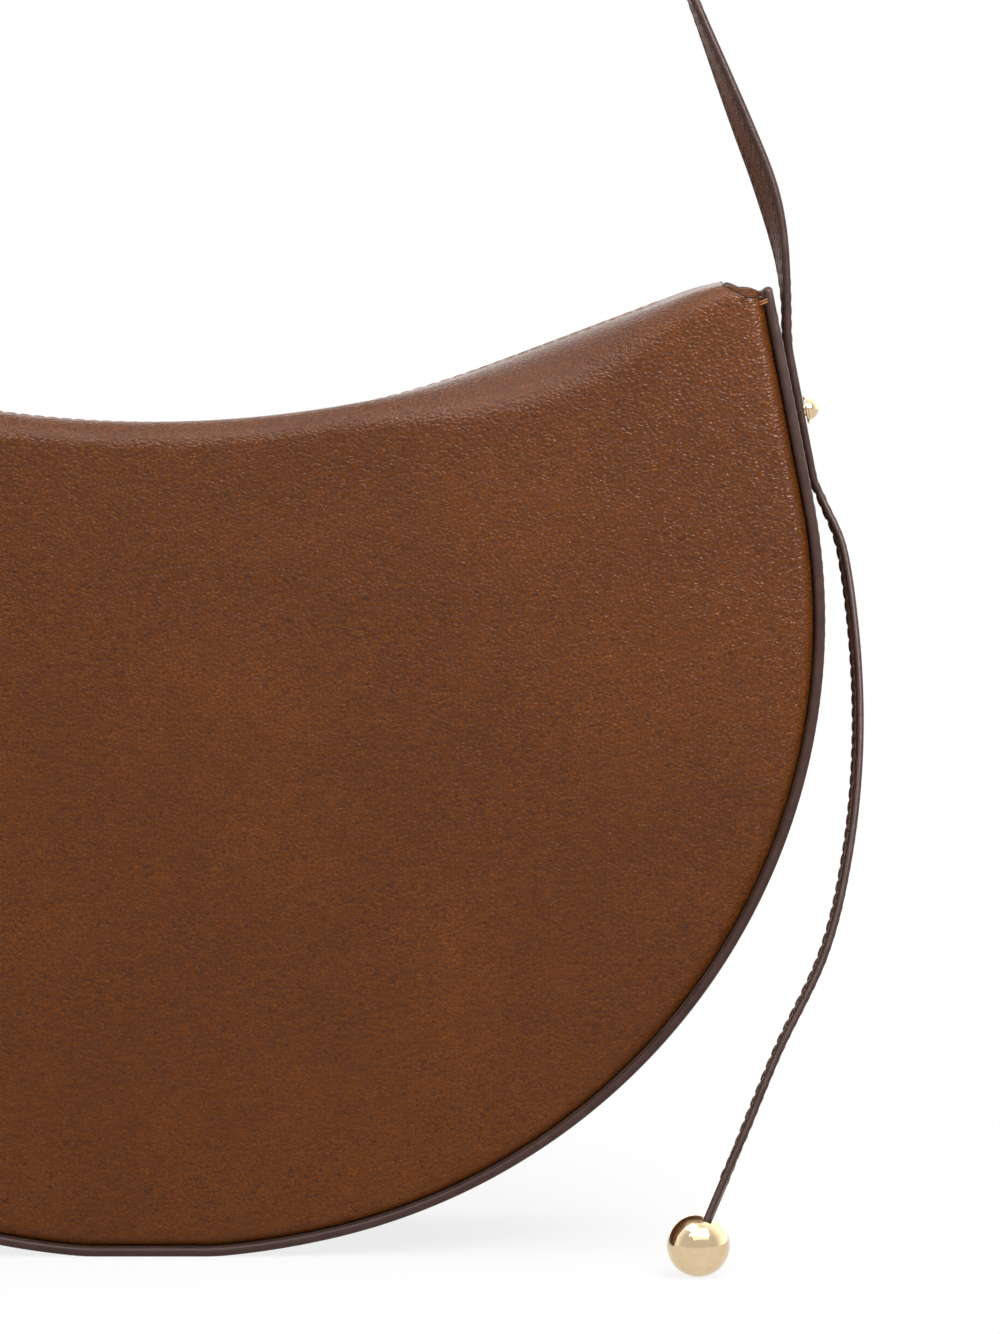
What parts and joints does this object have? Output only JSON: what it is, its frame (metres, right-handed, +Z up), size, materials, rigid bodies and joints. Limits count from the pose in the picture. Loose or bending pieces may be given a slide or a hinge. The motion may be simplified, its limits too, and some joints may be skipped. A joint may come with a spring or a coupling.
{
  "type": "half moon bag",
  "caption": "Brown leather half moon shoulder bag with a curved zip top, a stud-fixed strap and two strap tails that end in gold balls.",
  "frame": {"origin": "middle of the flat base, on the floor that the bag stands on", "axes": "+X to the right seen from the front, -Y to the front, +Z up along the strap"},
  "size_m": [0.3186, 0.0934, 0.4836],
  "materials": {
    "panel_leather": "smooth, fine grain, slight sheen",
    "gusset_leather": "smooth, dark painted cut edges",
    "strap_leather": "smooth, doubled and stitched, dark painted edges",
    "lining_cloth": "fine plain weave, matt",
    "stiffener_board": "plain, matt",
    "zip_tape": "woven tape, matt",
    "gold_metal": "polished, pale gold"
  },
  "bodies": {
    "bag": {"front_panel": "panel_leather", "back_panel": "panel_leather", "gusset": "gusset_leather", "gusset_lining": "lining_cloth", "front_board": "stiffener_board", "back_board": "stiffener_board", "front_lining": "lining_cloth", "back_lining": "lining_cloth", "slip_pocket": "lining_cloth", "zip_end_tab_right": "panel_leather", "zip_end_tab_left": "panel_leather", "ball_stud_right": "gold_metal", "ball_stud_left": "gold_metal", "stud_washer_right": "gold_metal", "stud_washer_left": "gold_metal", "stud_screw_right": "gold_metal", "stud_screw_left": "gold_metal", "strap_end_right": "strap_leather", "strap_end_left": "strap_leather"},
    "strap": {"shoulder_strap": "strap_leather"},
    "tail_right": {"strap_tail_right": "strap_leather", "tail_ball_right": "gold_metal", "ball_screw_right": "gold_metal"},
    "tail_left": {"strap_tail_left": "strap_leather", "tail_ball_left": "gold_metal", "ball_screw_left": "gold_metal"},
    "zip_front": {"zip_tape_front": "zip_tape", "zip_teeth_front": "gold_metal", "zip_stop_front_right": "gold_metal", "zip_stop_front_left": "gold_metal"},
    "zip_back": {"zip_tape_back": "zip_tape", "zip_teeth_back": "gold_metal", "zip_stop_back_right": "gold_metal", "zip_stop_back_left": "gold_metal"},
    "slider": {"zip_slider": "gold_metal"},
    "pull": {"zip_pull": "gold_metal"}
  },
  "joints": [
    {"name": "strap_swing", "type": "hinge", "parent": "bag", "child": "strap", "pos_m": [0, 0, 0.18733], "axis": [1, 0, 0], "range_deg": [-95, 95], "deforming": ["strap_end_right", "strap_end_left"]},
    {"name": "tail_right_swing", "type": "hinge", "parent": "bag", "child": "tail_right", "pos_m": [0.14923, 0, 0.16812], "axis": [0, -1, 0], "range_deg": [0, 45]},
    {"name": "tail_left_swing", "type": "hinge", "parent": "bag", "child": "tail_left", "pos_m": [-0.14923, 0, 0.16812], "axis": [0, 1, 0], "range_deg": [0, 45]},
    {"name": "zip_slide", "type": "hinge", "parent": "bag", "child": "slider", "pos_m": [0, 0, 0.4415], "axis": [0, -1, 0], "range_deg": [0, 34.8]},
    {"name": "zip_front_part", "type": "hinge", "parent": "bag", "child": "zip_front", "pos_m": [0.097, 0, 0.2], "axis": [0, 0, 1], "range_deg": [0, 3.1]},
    {"name": "zip_back_part", "type": "hinge", "parent": "bag", "child": "zip_back", "pos_m": [0.097, 0, 0.2], "axis": [0, 0, -1], "range_deg": [0, 3.1]},
    {"name": "zip_pull_swing", "type": "hinge", "parent": "slider", "child": "pull", "pos_m": [-0.07682, 0, 0.19636], "axis": [0, -1, 0], "range_deg": [0, 165]}
  ],
  "couplings": [
    {"joint": "zip_front_part", "follows": "zip_slide", "ratio": 0.089},
    {"joint": "zip_back_part", "follows": "zip_slide", "ratio": 0.089}
  ]
}
